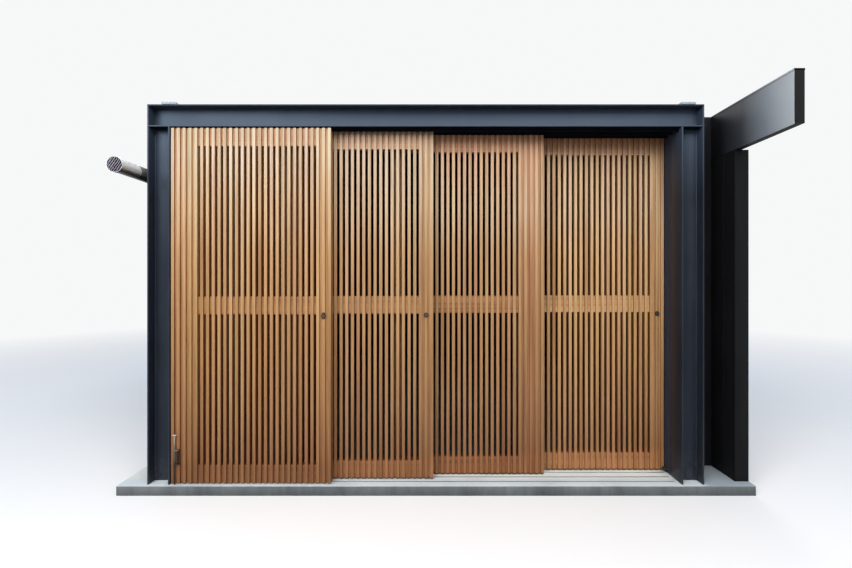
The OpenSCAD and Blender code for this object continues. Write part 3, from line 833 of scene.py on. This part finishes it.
def panels(start, step, count, thick, gap, foot, head):
    """A row of upright sheets or boards along the step from start, with gaps between them."""
    run = Vector(step)
    across = Vector((abs(run.y), abs(run.x), 0)).normalized() * thick
    end = Vector(start) + run * (1 - gap / run.length) + across
    sheet = block("row", (*Vector(start)[:2], foot), (*end[:2], head))
    repeat(sheet, count, step)
    trim_to_roof(sheet)
    ease(sheet, 0.0013)
    return sheet


def framed_wall(name, node, through, lengthways, outer_high, sheet):
    """A core with upright sheets on its outer side, boards on its inner side and a skirt outside.
    The wall's thickness runs along the axis called through, its length along lengthways, and
    outer_high says that the outer side is the one with the higher value."""
    low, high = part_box(node)
    skins = (board, clad) if outer_high else (clad, board)
    core_low, core_high = low.copy(), high.copy()
    core_low[through] += skins[0]
    core_high[through] -= skins[1]
    core = block("core", core_low, core_high)
    trim_to_roof(core)
    paint(core, edge_sheet)
    made = [core]
    length = high[lengthways] - low[lengthways]
    outer = (outer_high, sheet_wide, clad, clad_joint, sheet)
    inner = (not outer_high, board_wide, board, board_joint, inner_board_shade)
    for at_high, wide, thick, gap, material in (outer, inner):
        count = round(length / wide)
        start = Vector((0, 0, 0))
        start[through] = high[through] - thick if at_high else low[through]
        start[lengthways] = low[lengthways] + gap / 2
        step = Vector((0, 0, 0))
        step[lengthways] = length / count
        row = panels(start, step, count, thick, gap, low.z, high.z + head_past)
        paint(row, material)
        made.append(row)
    skirt_from, skirt_to = low.copy(), high.copy()
    skirt_to.z = low.z + skirt_high
    if outer_high:
        skirt_from[through] = high[through] - skirt_thick
    else:
        skirt_to[through] = low[through] + skirt_thick
    skirt = eased_block("skirt", skirt_from, skirt_to, 0.001)
    paint(skirt, edge_sheet)
    set_up(join(name, *made, skirt), "shell", "dark_sheet", node)


framed_wall("left_wall_clad", "left_party_wall", 0, 1, False, side_sheet)
framed_wall("right_wall_clad", "right_party_wall", 0, 1, True, side_sheet)
framed_wall("back_wall_clad", "back_wall", 1, 0, True, back_sheet)

# Roof timbers across the house, and boards over them, all as dark as the wall boards: painted shade,
# so that nothing inside shows between the slats by day.
sawn_timber = grained("sawn_timber", 0.8, (0.016, 0.009, 0.006), (0.034, 0.019, 0.012),
    (40, 5, 0.6, (0.06, 1, 1)), (0.001, 0.5), specular=0.2)
finish_with(sawn_timber, "roof_joists", "roof_deck")

# Roof sheet: long trays of coated steel, turned up and folded together in standing seams that run
# down the fall. The trays ripple a little, as thin sheet does.
low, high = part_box("roof_sheet")
fall_angle = math.atan(fall)
run = (high.y - low.y) / math.cos(fall_angle)
end_gap = 0.001
sheet_thick = 0.003
seam_high = 0.025
seam_wide = 0.012
seam_start = 0.06
seams = 9
strips_across = 80
strips_along = 60
wide = high.x - low.x
tray_wide = wide / (seams + 1)
trays = block("roof_trays", (-wide / 2, end_gap - run / 2, -sheet_thick), (wide / 2, run / 2 - end_gap, 0))
bpy.ops.object.mode_set(mode="EDIT")
for i in range(1, strips_across):
    slice_all((wide * (i / strips_across - 0.5), 0, 0), (1, 0, 0))
for i in range(1, strips_along):
    slice_all((0, run * (i / strips_along - 0.5), 0), (0, 1, 0))
shut()
ruffle(trays, "ripple", 0.55, "Z", 0.5, 0.004)
bpy.ops.object.shade_smooth_by_angle(angle=math.radians(30))
first_seam = tray_wide - wide / 2
seam = block("seam", (first_seam - seam_wide / 2, seam_start - run / 2, -0.001),
    (first_seam + seam_wide / 2, run / 2 - end_gap, seam_high))
open_edges(seam, lambda a, b: min(a.z, b.z) > seam_high - 0.001 and abs(a.x - b.x) < 0.001)
bpy.ops.mesh.bevel(offset=0.004, segments=3, affect="EDGES")
shut()
bpy.ops.object.shade_smooth_by_angle(angle=math.radians(40))
repeat(seam, seams, (tray_wide, 0, 0))
roof = join("roof_trays", trays, seam)
roof.rotation_euler.x = -fall_angle
settle()
tops = max(v.co.z for v in roof.data.vertices)
bpy.ops.transform.translate(value=((low.x + high.x) / 2, (low.y + high.y) / 2, high.z - tops))
settle()
paint(roof, coated_sheet("roof_sheet", tray_wide, low.x, "X"))
set_up(roof, "shell", "dark_sheet", "roof_sheet")

# Lattice doors: 28 cedar slats let into the rails and stiles of a cedar frame and oiled. The slats
# stand 10 mm proud of the frame. Top rail and stiles are grooved for the head guide, and the bottom
# rail is pocketed for two rollers. The faces are palest near the top, partly from rain and sun and
# partly from a painted sky sheen; the deeper doors' tops also carry the beam's painted shadow. The
# slats' sides, the recessed frame and each door's tint carry painted shade and light, and a painted
# shadow runs along each door's foot.
slat_pitch = 0.039
slat_depth = 0.030
slat_count = 28
slat_round = 0.0011
face_step = 0.010
frame_round = 0.0010
rail_height = 0.120
rail_in = 0.0003
guide_in = 0.040
groove_wide = 0.016
groove_deep = 0.017
pocket_in = 0.060
pocket_long = 0.060
pocket_wide = 0.020
pocket_deep = 0.0393
doors_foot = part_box("lattice_door_1")[0].z
foot_shadow_reach = 0.016


def cedar(name, first_x, grain, shade, tint, edge, foot, tops):
    """Oiled cedar whose tone and grain change from slat to slat, counted from first_x. Its colour is
    darker towards the bottom, and multiplied by the edge along the lowest few millimetres, a painted
    shadow of the gap under the door, by the foot at the bottom rail, by the three tops near the head of
    the door, which hold bleaching, painted sky sheen and painted beam shadow, and by the tint and
    shade, which paint light and shade door by door."""
    material, shader, place = surface(name, 0.50, specular=0.4)
    upright = grain == "upright"
    from_first = reckon("SUBTRACT", along(place, "X"), first_x - (slat_pitch - slat_width) / 2)
    number = reckon("FLOOR", reckon("DIVIDE", from_first, slat_pitch))
    seed = reckon("ADD", number, first_x * 10) if upright else reckon("FLOOR", along(place, "Z"))
    draw = add_node(place.id_data, "ShaderNodeTexWhiteNoise", noise_dimensions="1D", inputs={"W": seed})
    shifted = add_node(place.id_data, "ShaderNodeVectorMath", operation="ADD", inputs={
        0: place, 1: draw.outputs["Color"]}).outputs[0]
    fibres = noise(shifted, 130, 5, 0.6, (1, 1, 0.022) if upright else (0.022, 1, 1))
    figure = noise(shifted, 26, 4, 0.55, (1, 1, 0.03) if upright else (0.03, 1, 1))
    tone = ramp(draw.outputs["Value"], (0.0, (0.57, 0.325, 0.150)), (0.22, (0.61, 0.395, 0.186)),
        (0.45, (0.62, 0.375, 0.182)), (0.7, (0.66, 0.425, 0.218)), (0.88, (0.63, 0.37, 0.20)),
        (1.0, (0.58, 0.35, 0.170)))
    tone = times(tone, ramp(figure, (0.30, (0.60, 0.50, 0.41)), (0.5, (0.88, 0.84, 0.79)), (0.72, 1.0)))
    tone = times(tone, ramp(fibres, (0.3, (0.72, 0.66, 0.60)), (0.6, 1.0)), 0.7)
    tone = times(tone, ramp(spread(along(place, "Z"), 0.1, 2.46),
        (0.035, (foot * 0.53, foot * 0.385, foot * 0.295)), (0.06, (0.58, 0.45, 0.36)),
        (0.20, (0.74, 0.64, 0.56)), (0.42, (0.86, 0.78, 0.66)), (0.64, (1.00, 0.97, 0.92)),
        (0.78, tops[0]), (0.93, tops[1]), (1.0, tops[2])))
    # Painted shadow: the lowest millimetres of each door are darkened for the shaded gap under it.
    near_foot = spread(along(place, "Z"), doors_foot, doors_foot + foot_shadow_reach)
    tone = times(tone, ramp(near_foot, (0.38, edge), (0.62, 1.0)))
    tone = times(tone, (*tint, 1))
    if shade:
        tone = times(tone, (*shade, 1))
    feed(shader, "Base Color", tone)
    feed(shader, "Roughness", spread(fibres, 0.3, 0.7, 0.60, 0.44))
    bumps(shader, fibres, 0.0006, 0.6)
    return material


# Each door's tint and foot value also paint its level of light.
door_tints_and_light = {1: (0.82, 0.81, 0.78), 2: (0.80, 0.79, 0.80), 3: (0.78, 0.76, 0.78), 4: (0.94, 0.98, 1.02)}
door_side_shades = {1: (0.65, 0.42, 0.23), 2: (0.50, 0.30, 0.15), 3: (0.50, 0.30, 0.15), 4: (0.59, 0.37, 0.20)}
# Painted shade and light on the recessed stiles and rails, door by door.
door_frame_shading = {1: (0.94, 0.80, 0.68), 2: (1.01, 0.90, 0.80), 3: (0.96, 0.83, 0.71), 4: (1.14, 1.09, 1.11)}
door_rail_shading = {1: (0.87, 0.71, 0.55), 2: (0.99, 0.88, 0.77), 3: (0.94, 0.79, 0.66), 4: (1.14, 1.10, 1.12)}
door_foot_shadows = {1: 1.0, 2: 0.42, 3: 0.42, 4: 0.34}
door_feet = {1: 0.95, 2: 1.22, 3: 1.22, 4: 1.35}
# Near the top: bleaching and painted sky sheen; the last values also paint the beam's shadow.
door_top_bleach_and_light = {
    1: ((1.14, 1.28, 1.54), (1.22, 1.58, 2.38), (1.12, 1.44, 2.06)),
    2: ((1.13, 1.32, 1.63), (1.09, 1.36, 1.88), (0.82, 0.86, 1.12)),
    3: ((1.18, 1.40, 1.74), (1.25, 1.33, 1.66), (1.28, 1.13, 1.32)),
    4: ((1.00, 1.10, 1.30), (0.95, 1.02, 1.20), (0.70, 0.48, 0.40))}
for number in (1, 2, 3, 4):
    node = f"lattice_door_{number}"
    low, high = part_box(node)
    slat_gap = slat_count * slat_pitch - (high.x - low.x)
    slat_width = slat_pitch - slat_gap
    bleach_and_light = (door_tints_and_light[number], door_foot_shadows[number], door_feet[number], door_top_bleach_and_light[number])
    # The stiles and rails sit back and take a weaker painted sky sheen near the top.
    shaded_tops = [[min(c, 1 + 0.3 * (c - 1)) for c in stop] for stop in door_top_bleach_and_light[number]]
    door_light_paint = (*bleach_and_light[:3], shaded_tops)
    slat_face = cedar(f"slat_face_{number}", low.x, "upright", None, *bleach_and_light)
    slat_side = cedar(f"slat_side_{number}", low.x, "upright", door_side_shades[number], *bleach_and_light)
    stile_face = cedar(f"stile_face_{number}", low.x, "upright", door_frame_shading[number], *door_light_paint)
    rail_face = cedar(f"rail_face_{number}", low.x, "lying", door_rail_shading[number], *door_light_paint)
    slats = eased_block(f"door_{number}_slats", low, (low.x + slat_width, low.y + slat_depth, high.z),
        slat_round)
    # Painted shade: the slats' sides and backs take a darker, redder copy of the cedar.
    paint(slats, slat_face, slat_side, chosen=lambda middle, normal: abs(normal.x) > 0.9 or normal.y > 0.5)
    repeat(slats, slat_count, (slat_pitch, 0, 0))
    set_up(slats, f"door_{number}", "cedar", node)

    left_slats, right_slats = (3, 5) if number == 3 else (5, 3)
    left_in = low.x + left_slats * slat_pitch - slat_gap
    right_in = high.x - right_slats * slat_pitch + slat_gap
    front = low.y + face_step
    parts = [block("left_stile", (low.x, front, low.z), (left_in, high.y, high.z)),
        block("right_stile", (right_in, front, low.z), high)]
    for foot in (low.z, (low.z + high.z - rail_height) / 2, high.z - rail_height):
        parts.append(block("rail", (left_in, front + rail_in, foot),
            (right_in, high.y - rail_in, foot + rail_height)))
    guide = low.y + guide_in
    groove = block("groove", (low.x - cutter_past, guide - groove_wide / 2, high.z - groove_deep),
        (high.x + cutter_past, guide + groove_wide / 2, high.z + cutter_past))
    pockets = [block("pocket", (x, guide - pocket_wide / 2, low.z - cutter_past),
        (x + pocket_long, guide + pocket_wide / 2, low.z + pocket_deep))
        for x in (low.x + pocket_in, high.x - pocket_in - pocket_long)]
    cut(parts[0], groove, pockets[0])
    cut(parts[1], groove, pockets[1])
    cut(parts[2], pockets[1])
    cut(parts[4], groove)
    for cutter in (groove, *pockets):
        bpy.data.objects.remove(cutter)
    for part, finish in zip(parts, [stile_face] * 2 + [rail_face] * 3):
        ease(part, frame_round)
        paint(part, finish)
    set_up(join(f"door_{number}_frame", *parts), f"door_{number}", "cedar", node)

# Rollers in the doors' bottom rails: steel wheels on pins between cheeks, hidden in use.
finish_with(bright_steel, "door_rollers_1", "door_rollers_2", "door_rollers_3", "door_rollers_4")

# Locks: a round bronze escutcheon on the narrow stile, darkened by the weather, with the cylinder's
# nose and its keyway in it, rubbed paler by the keys. The first door's is taller than it is wide.
dark_bronze = grained("dark_bronze", 0.42, (0.022, 0.014, 0.008), (0.064, 0.040, 0.022), (90, 4, 0.6),
    (0.0003, 0.4), metallic=0.55)
rubbed_bronze = grained("rubbed_bronze", 0.46, (0.060, 0.043, 0.026), (0.130, 0.096, 0.060), (120, 4, 0.6),
    metallic=0.35)
rose_radius = 0.017
rose_thick = 0.004
rose_rim = 0.0025
rose_swell = 0.0012
nose_radius = 0.0082
keyway_wide = 0.0016
keyway_high = 0.009
keyway_deep = 0.006
lock_round = 0.0006
for number in (1, 2, 4):
    low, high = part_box(f"door_lock_{number}")
    x, z = (low.x + high.x) / 2, (low.z + high.z) / 2
    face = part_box(f"lattice_door_{number}")[0].y
    rose = round_bar("rose", rose_radius, (x, face - rose_thick, z), (x, face, z))
    open_faces(rose, lambda at, normal: normal.y < -0.9)
    bpy.ops.mesh.inset(thickness=rose_rim)
    bpy.ops.mesh.extrude_region_move(TRANSFORM_OT_translate={"value": (0, rose_swell, 0)})
    shut()
    if number == 1:
        bpy.ops.transform.resize(value=(0.9, 1, 1.36), center_override=(x, 0, z))
        settle()
    ease(rose, lock_round, 3)
    nose = round_bar("nose", nose_radius, (x, low.y, z), (x, high.y, z))
    keyway = block("keyway", (x - keyway_wide / 2, low.y - 0.001, z - keyway_high / 2),
        (x + keyway_wide / 2, low.y + keyway_deep, z + keyway_high / 2))
    cut(nose, keyway)
    bpy.data.objects.remove(keyway)
    ease(nose, lock_round)
    inner_rose = round_bar("inner_rose", rose_radius, (x, high.y - rose_thick / 2, z), (x, high.y, z))
    ease(inner_rose, lock_round)
    lock = join(f"door_{number}_lock", rose, nose, inner_rose)
    paint(lock, dark_bronze, rubbed_bronze, chosen=lambda at, normal: normal.y < -0.9
        and at.y < low.y + 0.001)
    set_up(lock, f"door_{number}", "stainless", f"door_lock_{number}")

# Drop bolt on the first door: a round rod in two loops on a base plate, with a flat handle across
# its top. The plate is screwed to the second slat.
bolt_steel, shader, place = surface("bolt_steel", 0.40, 0.75)
rubbed = noise(place, 60, 4, 0.6, (1, 1, 0.3))
tone = ramp(spread(along(place, "Z"), 0.20, 0.42), (0.0, (0.045, 0.030, 0.022)), (0.40, (0.16, 0.13, 0.10)),
    (1.0, (0.52, 0.48, 0.42)))
feed(shader, "Base Color", times(tone, ramp(rubbed, (0.3, (0.55, 0.54, 0.52)), (0.7, 1)), 0.7))
bumps(shader, rubbed, 0.0003, 0.4)
dark_plate = grained("dark_plate", 0.55, (0.012, 0.008, 0.006), (0.030, 0.022, 0.018), (60, 4),
    metallic=0.2, specular=0.2)
low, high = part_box("bolt_bracket")
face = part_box("lattice_door_1")[0].y
rod_low, rod_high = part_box("drop_bolt")
rod_x = (rod_low.x + rod_high.x) / 2
rod_y = (rod_low.y + rod_high.y) / 2
rod_radius = 0.005
rod_play = 0.0006
base_thick = 0.003
loop_high = 0.008
loop_end = face - 0.0025
screw_radius = 0.0032
screw_from = face - 0.0042
screw_to = face - 0.0028
handle_high = 0.008
handle_wide = 0.008
plate = eased_block("plate", (high.x - slat_width, face - base_thick, low.z), (high.x, face, high.z), 0.0008)
paint(plate, dark_plate)
fittings = []
for foot in (low.z, high.z - loop_high):
    loop = block("loop", (low.x, low.y, foot), (high.x, loop_end, foot + loop_high))
    open_edges(loop, lambda a, b: abs(a.z - b.z) > loop_high / 2 and max(a.y, b.y) < low.y + 0.001)
    bpy.ops.mesh.bevel(offset=0.006, segments=5, affect="EDGES")
    shut()
    bore = round_bar("bore", rod_radius + rod_play,
        (rod_x, rod_y, foot - cutter_past), (rod_x, rod_y, foot + 2 * cutter_past), 32)
    cut(loop, bore)
    bpy.data.objects.remove(bore)
    ease(loop, 0.0005)
    paint(loop, bolt_steel)
    fittings.append(loop)
screw_x = high.x - slat_width / 2
for z in (low.z + 0.028, low.z + 0.050, high.z - 0.028):
    screw = round_bar("screw", screw_radius, (screw_x, screw_from, z), (screw_x, screw_to, z), 20)
    ease(screw, 0.0005)
    paint(screw, dark_plate)
    fittings.append(screw)
set_up(join("bolt_base", plate, *fittings), "door_1", "stainless", "bolt_bracket")

rod_top = rod_high.z - handle_high / 2
rod = round_bar("rod", rod_radius, (rod_x, rod_y, rod_low.z), (rod_x, rod_y, rod_top), 32)
ease(rod, 0.0012)
handle = eased_block("handle", (rod_low.x, rod_y - handle_wide / 2, rod_high.z - handle_high),
    (rod_high.x, rod_y + handle_wide / 2, rod_high.z), 0.0030, 4)
bolt = join("bolt_rod", rod, handle)
paint(bolt, bolt_steel)
set_up(bolt, "bolt", "stainless", "drop_bolt")

# Door stop: a block of black rubber at the foot of the right jamb, for the third door to run against.
rubber = grained("black_rubber", 0.7, 0.010, 0.022, (300, 2))
low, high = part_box("door_stop")
stop = eased_block("door_stop_rubber", low, high, 0.003, 4)
paint(stop, rubber)
set_up(stop, "shell", "rubber", "door_stop")
